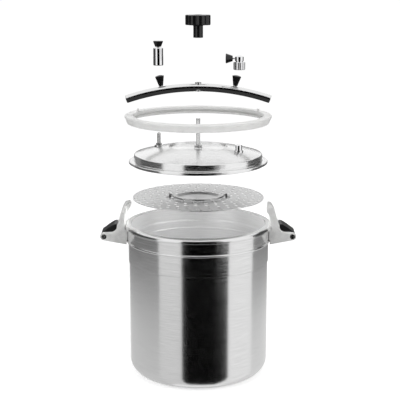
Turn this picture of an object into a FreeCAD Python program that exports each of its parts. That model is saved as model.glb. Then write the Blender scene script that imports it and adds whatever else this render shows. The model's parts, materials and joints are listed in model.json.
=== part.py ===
import FreeCAD, Part
import math
import os

# Bow-clamp pressure canner, its pieces raised along the pot's axis as on a parts bench.
# Millimetres, +Z up. The origin is the centre of the base, on the surface it stands on.
# Every piece is drawn where it sits when the canner is closed, then raised by its lift.

V = FreeCAD.Vector
ORIGIN = V(0, 0, 0)
UP = V(0, 0, 1)
ALONG_X = V(1, 0, 0)
ALONG_Y = V(0, 1, 0)
HALF_TURN = math.sqrt(0.5)
TINY = 0.001

# ---- pot ------------------------------------------------------------------
POT_HEIGHT = 330.0
BODY_R = 150.0
BODY_WALL = 8.6
BASE_THICK = 8.0
OUTER_CORNER_R = 28.0
INNER_CORNER_R = 20.0
FOOT_RING_WIDE = 18.0
FOOT_RECESS = 1.5
RIM_LAP = 8.0
RIM_THICK = 9.0
RIM_SHOULDER_WIDE = 4.5
RIM_SHOULDER_TALL = 7.6
TOP_BAND_PROUD = 3.2
RIDGE_PROUD = 2.0
RIDGE_DEPTH = 33.5
RIDGE_TALL = 5.0
SECOND_BAND_PROUD = 1.6
SECOND_BAND_DEPTH = 81.0
LINE_GROOVE = 0.8
LEDGE_STEP = 0.8
MOUTH_STEP = 1.2
UPPER_LEDGE_DEPTH = 28.0
LOWER_LEDGE_DEPTH = 46.0
LEDGE_TALL = 4.0
MOUTH_CHAMFER = 1.0

# ---- lid ------------------------------------------------------------------
LID_LAP = 3.9
FLANGE_THICK = 4.0
FLANGE_RISE = 0.5
FLANGE_WIDE = 11.3
LID_WALL_TOP = 17.8
LID_EDGE_ROUND = 1.5
DOME_RISE = 16.0
DISC_SHARE = 0.44
DISC_DEPTH = 4.3
DISC_SLOPE = 2.5
LID_SKIN = 5.0
SPIGOT_WALL = 6.5
SPIGOT_DROP = 3.5
BOSS_R = 8.6
BOSS_TALL = 2.0
PORT_SHARE = 0.67
PORT_ANGLE = -22.0
PORT_PAD_R = 9.6
PORT_PAD_RISE = 0.3
PORT_FACE_R = 9.0

# ---- gasket ---------------------------------------------------------------
GASKET_TALL = 17.0
GASKET_WRAP = 7.7
GASKET_FOOT_WRAP = 2.1
GASKET_LIP = 5.0
GASKET_STEP = 1.2
GASKET_MOUTH_GAP = 1.6
TAB_WIDE = 9.0
TAB_THICK = 2.6
TAB_TALL = 6.5
TAB_ANGLE = 21.0

# ---- centre stud ----------------------------------------------------------
STUD_R = 4.4
STUD_PITCH = 2.0
STUD_ROOT = 0.5
STUD_REACH = 34.6
STUD_THREAD_LONG = 55.0
STUD_NUT_FLATS = 14.0
STUD_NUT_TALL = 4.0
STUD_HEAD_FLATS = 18.0
STUD_HEAD_TALL = 4.5
SEAL_TALL = 1.6

# ---- clamp bar ------------------------------------------------------------
BAR_REACH = 3.1
BAR_R = 8.5
BAR_WALL = 2.5
BAR_GAP = 4.0
BAR_END_GAP = 2.0
BAR_CAP_TALL = 2.2
BAR_FLAT = 1.8
BUSH_R = 6.6
BUSH_NECK = 2.2
BUSH_FLANGE_R = 8.4
BUSH_FLANGE_TALL = 1.2
BAR_KNOB_SHARE = 0.503
BAR_KNOB_TOP_R = 9.3
BAR_KNOB_FOOT_R = 4.6
BAR_KNOB_TALL = 22.5
BAR_KNOB_NECK = 1.0
BAR_KNOB_DOME = 2.0
BAR_KNOB_FLUTES = 12
BAR_KNOB_FLUTE_R = 1.1
BAR_SCREW_R = 2.4
BAR_COLLAR_R = 3.8
BAR_COLLAR_SINK = 0.4
LOCK_ANGLE = 4.0

# ---- star knob ------------------------------------------------------------
KNOB_R = 26.8
KNOB_TALL = 21.0
KNOB_LOBES = 7
KNOB_LOBE_R = 12.0
KNOB_REST_ANGLE = 17.5
KNOB_EDGE = 2.0
STEM_R = 10.2
STEM_TALL = 26.0
STEM_FLARE = 1.5
KNOB_FEED = 2.0
RING_TALL = 2.0
RING_IN_R = 5.0
RING_R = 8.7
INSERT_R = 7.0
INSERT_ROOF = 1.5
STUD_TIP_GAP = 2.5
KNOB_DIMPLE_R = 9.0
KNOB_DIMPLE = 1.2

# ---- lid fittings ---------------------------------------------------------
POST_R = 3.7
POST_TALL = 27.0
POST_BORE_R = 1.3
POST_TIP = 2.0
POST_BASE_FLATS = 11.0
POST_BASE_TALL = 4.0
PORT_THREAD_R = 5.0
PORT_NUT_FLATS = 15.0
PORT_NUT_TALL = 5.0
STRAINER_R = 4.9
STRAINER_TALL = 5.0
STRAINER_WALL = 1.0
STRAINER_SLOT = 1.0
STRAINER_SLOTS = 8
SEAT_R = 7.4
SEAT_TALL = 11.0
SEAT_BORE_R = 2.6

# ---- operating valve ------------------------------------------------------
VALVE_R = 10.7
VALVE_TALL = 39.0
VALVE_SINK = 20.0
VALVE_SHOULDER = 3.0
VALVE_CHAMBER_R = 7.4
VALVE_ROOF = 5.0
SLEEVE_TALL = 21.5
NEEDLE_R = 3.0
NEEDLE_TIP = 0.4
NEEDLE_FLANGE_R = 6.6
NEEDLE_FLANGE_TALL = 1.4
NEEDLE_STEM_R = 1.8
NEEDLE_TALL = 6.0
VALVE_KNOB_TOP_R = 10.5
VALVE_KNOB_FOOT_R = 6.4
VALVE_KNOB_TALL = 12.0
VALVE_KNOB_NOTCHES = 10
VALVE_NOTCH_R = 1.0
SPINDLE_R = 2.4
SPINDLE_LONG = 9.0
SPRING_WIRE_R = 0.5
SPRING_R = 4.6
SPRING_TURNS = 5

# ---- safety valve ---------------------------------------------------------
SAFETY_NUT_R = 12.2
SAFETY_NUT_TALL = 16.0
SAFETY_NUT_FLUTES = 12
SAFETY_FLUTE_R = 1.6
SAFETY_BODY_R = 9.0
SAFETY_BODY_TALL = 16.0
SAFETY_NECK_R = 7.4
SAFETY_NECK_TALL = 2.0
SAFETY_DOME = 3.0
SAFETY_BORE_R = 5.0
POPPET_R = 4.6
POPPET_TALL = 3.0
POPPET_LIFT = 1.5
POPPET_STEM_R = 1.6
SAFETY_SPRING_R = 3.4
SAFETY_SPRING_TURNS = 3
PULL_PIN_R = 1.4
PULL_PIN_RISE = 23.0
PULL_KNOB_BIG_R = 10.2
PULL_KNOB_SMALL_R = 5.8
PULL_KNOB_LONG = 14.5
PULL_NECK = 4.5

# ---- rack -----------------------------------------------------------------
RACK_GAP = 1.0
RACK_THICK = 1.0
RACK_HOLE_R = 4.2
RACK_RINGS = 6
RACK_HOLE_PITCH = 21.6
RACK_MARGIN = 7.0
DISH_R = 43.5
DISH_SLOPE = 6.0
DISH_DEPTH = 4.0
BAIL_R = 54.7
BAIL_WIRE_R = 1.8
BAIL_RISE = 3.6
BAIL_PIN_LONG = 8.0
EYELET_R = 3.4
EYELET_LONG = 4.0
EYELET_FOOT = 11.0
EYELET_FOOT_TALL = 1.0

# ---- side brackets: OUT is measured outward from the rim ---------------------
BRACKET_WIDE = 62.0
PAD_REACH = 10.0
PAD_DROP = 12.6
ROOF_THICK = 6.0
ROOF_SLOPE = 20.0
HOOK_LAP = 1.5
HOOK_GAP = 0.5
SHOULDER_IN = 1.5
CREST_BULGE = 2.5
CHEEK_OUT = 10.5
CHEEK_RISE = 8.0
NECK_OUT = 15.5
NECK_DROP = 1.0
NECK_HOLLOW = 4.6
ARM_OUT = 28.0
ARM_RISE = 1.0
BOLT_OUT = 43.0
BOLT_DROP = 25.4
ARM_END_R = 8.6
ARM_END_ANGLE = -80.0
NOSE_SLOPE_RISE = 12.0
OPEN_SIDE_OUT = 2.0
OPEN_RAMP_Y = 8.0
OPEN_RAMP_DROP = 18.0
CLOSED_RAMP_DROP = 7.0
CHEEK_THICK = 9.0
WEB_OUT = 16.0
BRACKET_ROUND = 2.0
BOLT_R = 3.0
BOLT_RECESS_R = 5.8
BOLT_RECESS = 1.2
BOLT_HEAD_R = 5.2
BOLT_HEAD_TALL = 1.8
GRIP_NUT_FLATS = 9.0
GRIP_TOP = 25.3
GRIP_FLAT = 5.0
GRIP_BULGE = 1.1
GRIP_TIP_OUT = 3.5
GRIP_TIP_RISE = 7.5
GRIP_TOE = 2.0
GRIP_HEEL_DROP = 2.5
GRIP_HEEL = 3.0
GRIP_HOLLOW_FROM = 6.0
GRIP_HOLLOW = 7.0
RIVET_R = 4.0
RIVET_HEAD_R = 6.5
RIVET_HEAD_TALL = 1.6
RIVET_SPREAD = 14.0
RIVET_DEPTH = 20.0

# ---- fits -----------------------------------------------------------------
RUN = 0.1
CLEAR = 0.3
LOOSE = 0.7
LID_PASS = 0.8
EDGE = 1.0
FINE_EDGE = 0.6

# ---- how far each piece is raised above its closed place ---------------------
LID_LIFT = 126.7
GASKET_LIFT = 89.0
RACK_DROP = 235.5
BAR_LIFT = 110.5
KNOB_LIFT = 92.1
VALVE_LIFT = 163.2
SAFETY_LIFT = 166.7

# ---- derived --------------------------------------------------------------
FOOT_RING_IN_R = BODY_R - OUTER_CORNER_R - FOOT_RING_WIDE
RIM_R = BODY_R + RIM_LAP
TOP_BAND_R = BODY_R + TOP_BAND_PROUD
RIDGE_R = TOP_BAND_R + RIDGE_PROUD
SECOND_BAND_R = BODY_R + SECOND_BAND_PROUD
BODY_IN_R = BODY_R - BODY_WALL
LEDGE_R = BODY_IN_R + LEDGE_STEP
MOUTH_R = LEDGE_R + MOUTH_STEP
LID_R = MOUTH_R + LID_LAP
LID_WALL_R = LID_R - FLANGE_WIDE
DISC_R = DISC_SHARE * LID_WALL_R
PORT_PITCH_R = PORT_SHARE * LID_WALL_R
LID_Z = POT_HEIGHT + CLEAR + GASKET_LIP
DOME_EDGE_Z = LID_Z + LID_WALL_TOP
DOME_R = (LID_WALL_R ** 2 - DISC_R ** 2) / (2 * DOME_RISE)
DISC_Z = DOME_EDGE_Z + DOME_RISE - DISC_DEPTH
DISC_UNDER_Z = DISC_Z - LID_SKIN


def dome_height(radius, below=0.0):
    """Height of the lid's dome at a radius, or of its underside when a skin is given."""
    return DOME_EDGE_Z - below + (LID_WALL_R ** 2 - radius ** 2) / (2 * DOME_R)


PORT_Z = dome_height(PORT_PITCH_R - PORT_PAD_R) + PORT_PAD_RISE
PORT_UNDER_Z = PORT_Z - LID_SKIN
PORT_X = PORT_PITCH_R * math.cos(math.radians(PORT_ANGLE))
PORT_Y = PORT_PITCH_R * math.sin(math.radians(PORT_ANGLE))
GASKET_TOP_R = LID_R + GASKET_WRAP
GASKET_FOOT_R = LID_R + GASKET_FOOT_WRAP
GASKET_MOUTH_R = LID_WALL_R + GASKET_MOUTH_GAP
GASKET_TOP_Z = POT_HEIGHT + CLEAR + GASKET_TALL
HOOK_R = LID_R + LID_PASS
BAR_HALF = HOOK_R + BAR_REACH
BAR_LOW_Z = DISC_Z + BOSS_TALL + STUD_NUT_TALL + BAR_GAP + BUSH_FLANGE_TALL + RUN - BAR_FLAT
BAR_Z = BAR_LOW_Z + BAR_R
BAR_SAG = BAR_LOW_Z - GASKET_TOP_Z - BAR_END_GAP
BAR_BEND_R = (BAR_HALF ** 2 + BAR_SAG ** 2) / (2 * BAR_SAG)
BAR_BEND_Z = BAR_Z - BAR_BEND_R
BAR_END_ANGLE = math.degrees(math.asin(BAR_HALF / BAR_BEND_R))
BAR_CAP_ANGLE = math.degrees(BAR_CAP_TALL / BAR_BEND_R)
BAR_KNOB_X = BAR_KNOB_SHARE * BAR_HALF
BUSH_TOP_Z = BAR_Z + BAR_R + BUSH_NECK
STUD_TOP_Z = BUSH_TOP_Z + STUD_REACH
RING_Z = BUSH_TOP_Z + 2 * RUN
STEM_Z = RING_Z - KNOB_FEED
RING_POCKET = KNOB_FEED + RING_TALL + CLEAR
INSERT_Z = STEM_Z + RING_POCKET + CLEAR / 2
INSERT_TOP_Z = STUD_TOP_Z + STUD_TIP_GAP + INSERT_ROOF
VALVE_Z = PORT_Z + POST_TALL - VALVE_SINK
SAFETY_Z = dome_height(PORT_PITCH_R - SAFETY_NUT_R) + CLEAR
SAFETY_SINK = PORT_Z + SEAT_TALL - SAFETY_Z
RACK_R = BODY_IN_R - RACK_GAP
RACK_SINK = INNER_CORNER_R - RACK_GAP + CLEAR
RACK_Z = BASE_THICK + INNER_CORNER_R - math.sqrt(INNER_CORNER_R ** 2 - RACK_SINK ** 2)
ROOF_Z = BAR_BEND_Z + math.sqrt((BAR_BEND_R + BAR_R) ** 2 - (HOOK_R - HOOK_LAP) ** 2) + HOOK_GAP
POCKET_R = GASKET_TOP_R + LOOSE
STOP_Y = BAR_HALF * math.sin(math.radians(LOCK_ANGLE)) + BAR_R + LOOSE
BOLT_X = RIM_R + BOLT_OUT
BOLT_Z = POT_HEIGHT - BOLT_DROP
WEB_X = RIM_R + WEB_OUT
RIVET_PROUD_R = MOUTH_R - RIVET_HEAD_TALL


# ---- drawing helpers --------------------------------------------------------
def turned(*moves):
    """Solid of revolution. A move is a point (r, z), or a pair: a point on an arc and its end."""
    edges = []
    here = V(moves[0][0], 0, moves[0][1])
    for move in moves[1:] + moves[:1]:
        on_arc = isinstance(move[0], tuple)
        end = move[1] if on_arc else move
        there = V(end[0], 0, end[1])
        if on_arc:
            edges.append(Part.Arc(here, V(move[0][0], 0, move[0][1]), there).toShape())
        elif (there - here).Length > TINY:
            edges.append(Part.LineSegment(here, there).toShape())
        here = there
    return Part.Face(Part.Wire(edges)).revolve(ORIGIN, UP, 360)


def rounding(centre, radius, quarter):
    """Quarter-circle move (midpoint, end) about a centre; quarter gives its middle and end angles."""
    points = [(centre[0] + radius * math.cos(math.radians(a)), centre[1] + radius * math.sin(math.radians(a)))
              for a in quarter]
    return tuple(points)


def crown(edge_r, top, rise):
    """Move over a shallow dome: from its edge to its top on the axis."""
    sphere_r = (edge_r ** 2 + rise ** 2) / (2 * rise)
    half_r = edge_r / 2
    return (half_r, top - sphere_r + math.sqrt(sphere_r ** 2 - half_r ** 2)), (0, top)


def rod(radius, low, high, x=0.0, y=0.0):
    return Part.makeCylinder(radius, high - low, V(x, y, low), UP)


def tube(outer, inner, low, high, x=0.0, y=0.0):
    return rod(outer, low, high, x, y).cut(rod(inner, low, high, x, y))


def lying(radius, x0, x1, y, z):
    """Cylinder along X."""
    return Part.makeCylinder(radius, x1 - x0, V(x0, y, z), ALONG_X)


def block(x0, x1, y0, y1, z0, z1):
    return Part.makeBox(x1 - x0, y1 - y0, z1 - z0, V(x0, y0, z0))


def hexagon(flats, low, high):
    """Upright hexagonal prism with its corners eased at both ends."""
    corner_r = flats / math.sqrt(3)
    corners = [V(corner_r * math.cos(math.radians(60 * i)), corner_r * math.sin(math.radians(60 * i)), low)
               for i in range(7)]
    prism = Part.Face(Part.makePolygon(corners)).extrude(V(0, 0, high - low))
    ease = corner_r - flats / 2
    keep = turned((0, low), (flats / 2, low), (corner_r, low + ease / 2),
                  (corner_r, high - ease / 2), (flats / 2, high), (0, high))
    return prism.common(keep)


def ring_of(shape, count, start=0.0):
    """The shape repeated evenly round the Z axis."""
    return [turned_about(shape, start + 360.0 * i / count) for i in range(count)]


def spring(radius, wire_r, low, high, turns):
    helix = Part.makeHelix((high - low - 2 * wire_r) / turns, high - low - 2 * wire_r, radius)
    section = Part.Wire(Part.Circle(V(radius, 0, 0), ALONG_Y, wire_r).toShape())
    coil = Part.Wire(helix.Edges).makePipeShell([section], True, True)
    return moved(coil, z=low + wire_r)


def moved(shape, x=0.0, y=0.0, z=0.0):
    copy = shape.copy()
    copy.translate(V(x, y, z))
    return copy


def turned_about(shape, angle, centre=ORIGIN, axis=UP):
    copy = shape.copy()
    copy.rotate(centre, axis, angle)
    return copy


def group(*shapes):
    return Part.makeCompound(list(shapes))


# ---- pot --------------------------------------------------------------------
def pot_body():
    top = POT_HEIGHT
    under_rim = top - RIM_THICK
    ridge_top = top - RIDGE_DEPTH
    ridge_low = ridge_top - RIDGE_TALL
    line_z = top - SECOND_BAND_DEPTH
    ledge_z = top - LOWER_LEDGE_DEPTH
    floor_r = BODY_IN_R - INNER_CORNER_R
    floor_bend_z = BASE_THICK + INNER_CORNER_R
    shape = turned(
        (0, FOOT_RECESS),
        (FOOT_RING_IN_R - FOOT_RECESS, FOOT_RECESS),
        (FOOT_RING_IN_R, 0),
        (BODY_R - OUTER_CORNER_R, 0),
        rounding((BODY_R - OUTER_CORNER_R, OUTER_CORNER_R), OUTER_CORNER_R, (-45, 0)),
        (BODY_R, line_z - LINE_GROOVE),
        (BODY_R - LINE_GROOVE, line_z),
        (SECOND_BAND_R, line_z + LINE_GROOVE),
        (SECOND_BAND_R, ridge_low),
        ((RIDGE_R, (ridge_low + ridge_top) / 2), (TOP_BAND_R, ridge_top)),
        (TOP_BAND_R, under_rim),
        (RIM_R - LINE_GROOVE, under_rim),
        (RIM_R, under_rim + LINE_GROOVE),
        (RIM_R, top - RIM_SHOULDER_TALL),
        ((RIM_R - RIM_SHOULDER_WIDE * (1 - HALF_TURN), top - RIM_SHOULDER_TALL * (1 - HALF_TURN)),
         (RIM_R - RIM_SHOULDER_WIDE, top)),
        (MOUTH_R + MOUTH_CHAMFER, top),
        (MOUTH_R, top - MOUTH_CHAMFER),
        (MOUTH_R, top - UPPER_LEDGE_DEPTH),
        (LEDGE_R, top - UPPER_LEDGE_DEPTH - LEDGE_TALL),
        (LEDGE_R, ledge_z),
        (BODY_IN_R, ledge_z - LEDGE_TALL / 2),
        (BODY_IN_R, floor_bend_z),
        rounding((floor_r, floor_bend_z), INNER_CORNER_R, (-45, -90)),
        (0, BASE_THICK),
    )
    for side in (-1, 1):
        hole = rivet_shank(side, RIVET_R + RUN)
        shape = shape.cut(hole).cut(turned_about(hole, 180))
    return shape


def pot_outside(clear):
    """The pot's outside near its rim, grown by a clearance, for cutting what hugs it."""
    top = POT_HEIGHT
    low = top - SECOND_BAND_DEPTH
    return turned((0, low), (RIDGE_R + clear, low), (RIDGE_R + clear, top - RIDGE_DEPTH + clear),
                  (TOP_BAND_R + clear, top - RIDGE_DEPTH + clear),
                  (TOP_BAND_R + clear, top - RIM_THICK - clear),
                  (RIM_R + clear, top - RIM_THICK - clear), (RIM_R + clear, top + clear), (0, top + clear))


def rivet_shank(side, radius):
    return lying(radius, RIVET_PROUD_R - RIVET_HEAD_R, WEB_X, side * RIVET_SPREAD, POT_HEIGHT - RIVET_DEPTH)


def bracket_rivets():
    """Two rivets on each side: a low head hugging the inner wall, a shank through wall and web."""
    inside = tube(MOUTH_R, RIVET_PROUD_R, POT_HEIGHT - UPPER_LEDGE_DEPTH, POT_HEIGHT)
    rivets = []
    for side in (-1, 1):
        head = lying(RIVET_HEAD_R, RIVET_PROUD_R - RIVET_HEAD_R, RIM_R, side * RIVET_SPREAD,
                     POT_HEIGHT - RIVET_DEPTH).common(inside)
        shank = rivet_shank(side, RIVET_R).cut(rod(RIVET_PROUD_R, 0, POT_HEIGHT))
        rivets.append(head.fuse(shank).removeSplitter())
    return group(*rivets, *[turned_about(rivet, 180) for rivet in rivets])


# ---- side brackets ------------------------------------------------------------
def line(start, end):
    return Part.LineSegment(start, end).toShape()


def bulged(start, end, bulge):
    """Arc in the XZ plane that stands off its chord, to the left of its travel, by the bulge."""
    along = end - start
    side = V(-along.z, 0, along.x).normalize()
    return Part.Arc(start, (start + end) / 2 + side * bulge, end).toShape()


def bracket_prism():
    """The cast arm's side profile, hook to round end, drawn across the bracket's width."""
    def at(out, z):
        return V(RIM_R + out, 0, z)

    inner = MOUTH_R - PAD_REACH - RIM_R
    shoulder_fall = (RIM_R - SHOULDER_IN - HOOK_R) * math.tan(math.radians(ROOF_SLOPE))
    roof_fall = (MOUTH_R - PAD_REACH - HOOK_R) * math.tan(math.radians(ROOF_SLOPE))
    end_turn = math.radians(ARM_END_ANGLE)
    low_end = at(BOLT_OUT + ARM_END_R * math.cos(end_turn), BOLT_Z + ARM_END_R * math.sin(end_turn))
    far_end = at(BOLT_OUT + ARM_END_R, BOLT_Z)
    arm_top = at(BOLT_OUT, BOLT_Z + ARM_END_R)
    arm_root = at(ARM_OUT, BOLT_Z + ARM_END_R + ARM_RISE)
    neck = at(NECK_OUT, POT_HEIGHT - NECK_DROP)
    cheek = at(CHEEK_OUT, POT_HEIGHT + CHEEK_RISE)
    shoulder = at(-SHOULDER_IN, ROOF_Z + ROOF_THICK - shoulder_fall)
    roof_in = at(inner, ROOF_Z + ROOF_THICK - roof_fall)
    pad_low = at(inner, BOLT_Z - ARM_END_R - PAD_DROP)
    edges = [
        line(pad_low, low_end),
        Part.Arc(low_end, far_end, arm_top).toShape(),
        line(arm_top, arm_root),
        bulged(arm_root, neck, NECK_HOLLOW),
        line(neck, cheek),
        bulged(cheek, shoulder, -CREST_BULGE),
        line(shoulder, roof_in),
        line(roof_in, pad_low),
    ]
    prism = Part.Face(Part.Wire(edges)).extrude(V(0, BRACKET_WIDE, 0))
    prism = moved(prism, y=-BRACKET_WIDE / 2)

    def on_a_side(edge):
        box = edge.BoundBox
        return box.YLength < TINY and box.XMax > pad_low.x + TINY
    return prism.makeFillet(BRACKET_ROUND, [edge for edge in prism.Edges if on_a_side(edge)])


def roof_ramp(start_y, end_y, drop):
    """What slopes the hook's top down from a line across it to one of the bracket's sides."""
    top = ROOF_Z + ROOF_THICK
    above = top + ROOF_THICK
    corners = [V(0, start_y, above), V(0, start_y, top), V(0, end_y, top - drop), V(0, end_y, above),
               V(0, start_y, above)]
    return Part.Face(Part.makePolygon(corners)).extrude(V(BOLT_X, 0, 0))


def hook_clearance():
    """What the hook leaves free: the lid's way down, the gasket, the bar's pocket and its open side."""
    top = POT_HEIGHT
    half = BRACKET_WIDE / 2
    above = ROOF_Z + 3 * ROOF_THICK
    gasket_top = GASKET_TOP_Z + CLEAR
    nose_z = gasket_top + NOSE_SLOPE_RISE
    lid_way = turned((0, top), (POCKET_R, top), (POCKET_R, gasket_top), (HOOK_R, nose_z),
                     (HOOK_R, above), (0, above))
    pocket = rod(POCKET_R, top, ROOF_Z).common(block(0, RIM_R, -STOP_Y, half, top, above))
    open_x = math.sqrt((RIM_R + OPEN_SIDE_OUT) ** 2 - half ** 2)
    corners = [V(0, 0, top), V(HOOK_R, 0, top), V(open_x, half, top), V(0, half, top), V(0, 0, top)]
    open_side = Part.Face(Part.makePolygon(corners)).extrude(V(0, 0, above - top))
    open_ramp = roof_ramp(OPEN_RAMP_Y, half, OPEN_RAMP_DROP)
    closed_ramp = roof_ramp(-STOP_Y, -half, CLOSED_RAMP_DROP)
    return [lid_way, pocket, open_side, open_ramp, closed_ramp]


def bracket():
    inner_y = BRACKET_WIDE / 2 - CHEEK_THICK
    shape = bracket_prism().cut(pot_outside(CLEAR))
    for cut in hook_clearance():
        shape = shape.cut(cut)
    slot = block(WEB_X, BOLT_X + 2 * ARM_END_R, -inner_y, inner_y, BOLT_Z - 3 * ARM_END_R, ROOF_Z)
    shape = shape.cut(slot)
    shape = shape.cut(grip_bolt_bore(BOLT_R + RUN))
    for side in (-1, 1):
        face_y = side * BRACKET_WIDE / 2
        recess_at = V(BOLT_X, face_y - BOLT_RECESS, BOLT_Z)
        shape = shape.cut(Part.makeCylinder(BOLT_RECESS_R, 2 * BOLT_RECESS, recess_at, ALONG_Y))
        shape = shape.cut(rivet_shank(side, RIVET_R + RUN))
    return shape


def grip_bolt_bore(radius):
    return Part.makeCylinder(radius, BRACKET_WIDE, V(BOLT_X, -BRACKET_WIDE / 2, BOLT_Z), ALONG_Y)


def grip():
    """The moulded block held between the cheeks, hollowed below for the fingers."""
    half = BRACKET_WIDE / 2 - CHEEK_THICK - RUN
    end_r = ARM_END_R - 2 * CLEAR

    def at(x, rise):
        return V(x, -half, BOLT_Z + rise)

    web_x = WEB_X + CLEAR
    heel = at(web_x, -end_r - GRIP_HEEL_DROP)
    heel_end = at(web_x + GRIP_HEEL, -end_r - GRIP_HEEL_DROP)
    hollow = at(BOLT_X - GRIP_HOLLOW_FROM, -end_r)
    toe = at(BOLT_X + GRIP_TOE, -end_r)
    tip = at(BOLT_X + GRIP_TIP_OUT, GRIP_TIP_RISE)
    flat_end = at(web_x + GRIP_FLAT, GRIP_TOP)
    top = at(web_x, GRIP_TOP)
    edges = [
        line(top, flat_end),
        bulged(flat_end, tip, GRIP_BULGE),
        Part.Arc(tip, at(BOLT_X + end_r, 0), toe).toShape(),
        line(toe, hollow),
        bulged(hollow, heel_end, -GRIP_HOLLOW),
        line(heel_end, heel),
        line(heel, top),
    ]
    shape = Part.Face(Part.Wire(edges)).extrude(V(0, 2 * half, 0))
    return shape.cut(grip_bolt_bore(BOLT_R + RUN))


def grip_bolts():
    """One bolt through each arm, its flat round head in the near cheek's recess."""
    face_y = -BRACKET_WIDE / 2 + BOLT_RECESS
    length = BRACKET_WIDE - 2 * BOLT_RECESS + GRIP_NUT_FLATS / 2
    bolts = []
    for x in (-BOLT_X, BOLT_X):
        head = Part.makeCylinder(BOLT_HEAD_R, BOLT_HEAD_TALL, V(x, face_y - BOLT_HEAD_TALL, BOLT_Z), ALONG_Y)
        shank = Part.makeCylinder(BOLT_R, length, V(x, face_y, BOLT_Z), ALONG_Y)
        bolts.append(head.fuse(shank))
    return group(*bolts)


def grip_nuts():
    """Nuts on the far ends of the grip bolts."""
    face_y = BRACKET_WIDE / 2 - BOLT_RECESS
    nut = hexagon(GRIP_NUT_FLATS, 0, GRIP_NUT_FLATS / 2).cut(rod(BOLT_R, 0, GRIP_NUT_FLATS / 2))
    nut = turned_about(nut, -90, ORIGIN, ALONG_X)
    return group(*[moved(nut, x, face_y, BOLT_Z) for x in (-BOLT_X, BOLT_X)])


# ---- lid --------------------------------------------------------------------
def dome_arc(start_r, end_r, below=0.0):
    middle_r = (start_r + end_r) / 2
    return (middle_r, dome_height(middle_r, below)), (end_r, dome_height(end_r, below))


def lid_shell():
    spigot_r = MOUTH_R - LID_PASS
    spigot_in_r = spigot_r - SPIGOT_WALL
    wall_in_r = LID_WALL_R - LID_SKIN
    flange_z = LID_Z + FLANGE_THICK
    edge_r = LID_WALL_R - LID_EDGE_ROUND
    slope_r = DISC_R + DISC_SLOPE
    shape = turned(
        (0, DISC_UNDER_Z),
        (DISC_R, DISC_UNDER_Z),
        (slope_r, dome_height(slope_r, LID_SKIN)),
        dome_arc(slope_r, wall_in_r, LID_SKIN),
        (wall_in_r, LID_Z),
        (spigot_in_r, LID_Z - SPIGOT_DROP),
        (spigot_r - EDGE, LID_Z - SPIGOT_DROP),
        (spigot_r, LID_Z - SPIGOT_DROP + EDGE),
        (spigot_r, LID_Z),
        (LID_R, LID_Z),
        (LID_R, flange_z - EDGE),
        (LID_R - EDGE, flange_z),
        (LID_WALL_R + FLANGE_RISE, flange_z + FLANGE_RISE),
        (LID_WALL_R, flange_z + 2 * FLANGE_RISE),
        (LID_WALL_R, DOME_EDGE_Z - LID_EDGE_ROUND),
        ((LID_WALL_R - LID_EDGE_ROUND * (1 - HALF_TURN), DOME_EDGE_Z - LID_EDGE_ROUND * (1 - HALF_TURN)),
         (edge_r, dome_height(edge_r))),
        dome_arc(edge_r, slope_r),
        (DISC_R, DISC_Z),
        (BOSS_R + EDGE, DISC_Z),
        (BOSS_R, DISC_Z + EDGE),
        (BOSS_R, DISC_Z + BOSS_TALL),
        (0, DISC_Z + BOSS_TALL),
    )
    shape = shape.cut(rod(STUD_R + RUN, DISC_UNDER_Z, DISC_Z + BOSS_TALL))
    for x, y in ((PORT_X, PORT_Y), (-PORT_X, -PORT_Y)):
        shape = shape.fuse(rod(PORT_PAD_R, PORT_UNDER_Z + EDGE, PORT_Z, x, y))
        shape = shape.cut(rod(PORT_FACE_R, PORT_UNDER_Z - LID_SKIN, PORT_UNDER_Z, x, y))
        shape = shape.cut(rod(PORT_THREAD_R + RUN, PORT_UNDER_Z, PORT_Z, x, y))
    return shape


def center_stud():
    """Threaded stud, its hexagonal head and seal under the lid's centre."""
    head_top = DISC_UNDER_Z - SEAL_TALL
    thread_top = STUD_TOP_Z
    thread_low = thread_top - STUD_THREAD_LONG
    root_r = STUD_R - STUD_ROOT
    outline = [(0, head_top - EDGE), (STUD_R, head_top - EDGE), (STUD_R, thread_low)]
    for i in range(int(STUD_THREAD_LONG / STUD_PITCH) - 1):
        z = thread_low + i * STUD_PITCH
        outline += [(root_r, z + STUD_PITCH / 2), (STUD_R, z + STUD_PITCH)]
    outline += [(STUD_R, thread_top - STUD_PITCH / 2), (root_r, thread_top), (0, thread_top)]
    head = hexagon(STUD_HEAD_FLATS, head_top - STUD_HEAD_TALL, head_top)
    return turned(*outline).fuse(head)


def stud_nut():
    """Hexagonal nut with a washer face, run down on the centre boss."""
    low = DISC_Z + BOSS_TALL
    nut = hexagon(STUD_NUT_FLATS, low, low + STUD_NUT_TALL)
    return nut.cut(rod(STUD_R, low, low + STUD_NUT_TALL))


def lid_seals():
    """Flat sealing washers under the lid: one at the stud, one at each port."""
    low = DISC_UNDER_Z - SEAL_TALL
    seals = [tube(STUD_HEAD_FLATS / 2, STUD_R + RUN, low, DISC_UNDER_Z)]
    for x, y in ((PORT_X, PORT_Y), (-PORT_X, -PORT_Y)):
        seals.append(tube(PORT_NUT_FLATS / 2, PORT_THREAD_R, PORT_UNDER_Z - SEAL_TALL, PORT_UNDER_Z, x, y))
    return group(*seals)


def port_nuts():
    """The two nuts that clamp the ports from inside the lid."""
    top = PORT_UNDER_Z - SEAL_TALL
    nut = hexagon(PORT_NUT_FLATS, top - PORT_NUT_TALL, top)
    nut = nut.cut(rod(PORT_THREAD_R, top - PORT_NUT_TALL, top))
    return group(moved(nut, PORT_X, PORT_Y), moved(nut, -PORT_X, -PORT_Y))


def port_shank_low():
    return PORT_UNDER_Z - SEAL_TALL - PORT_NUT_TALL - EDGE


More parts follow.
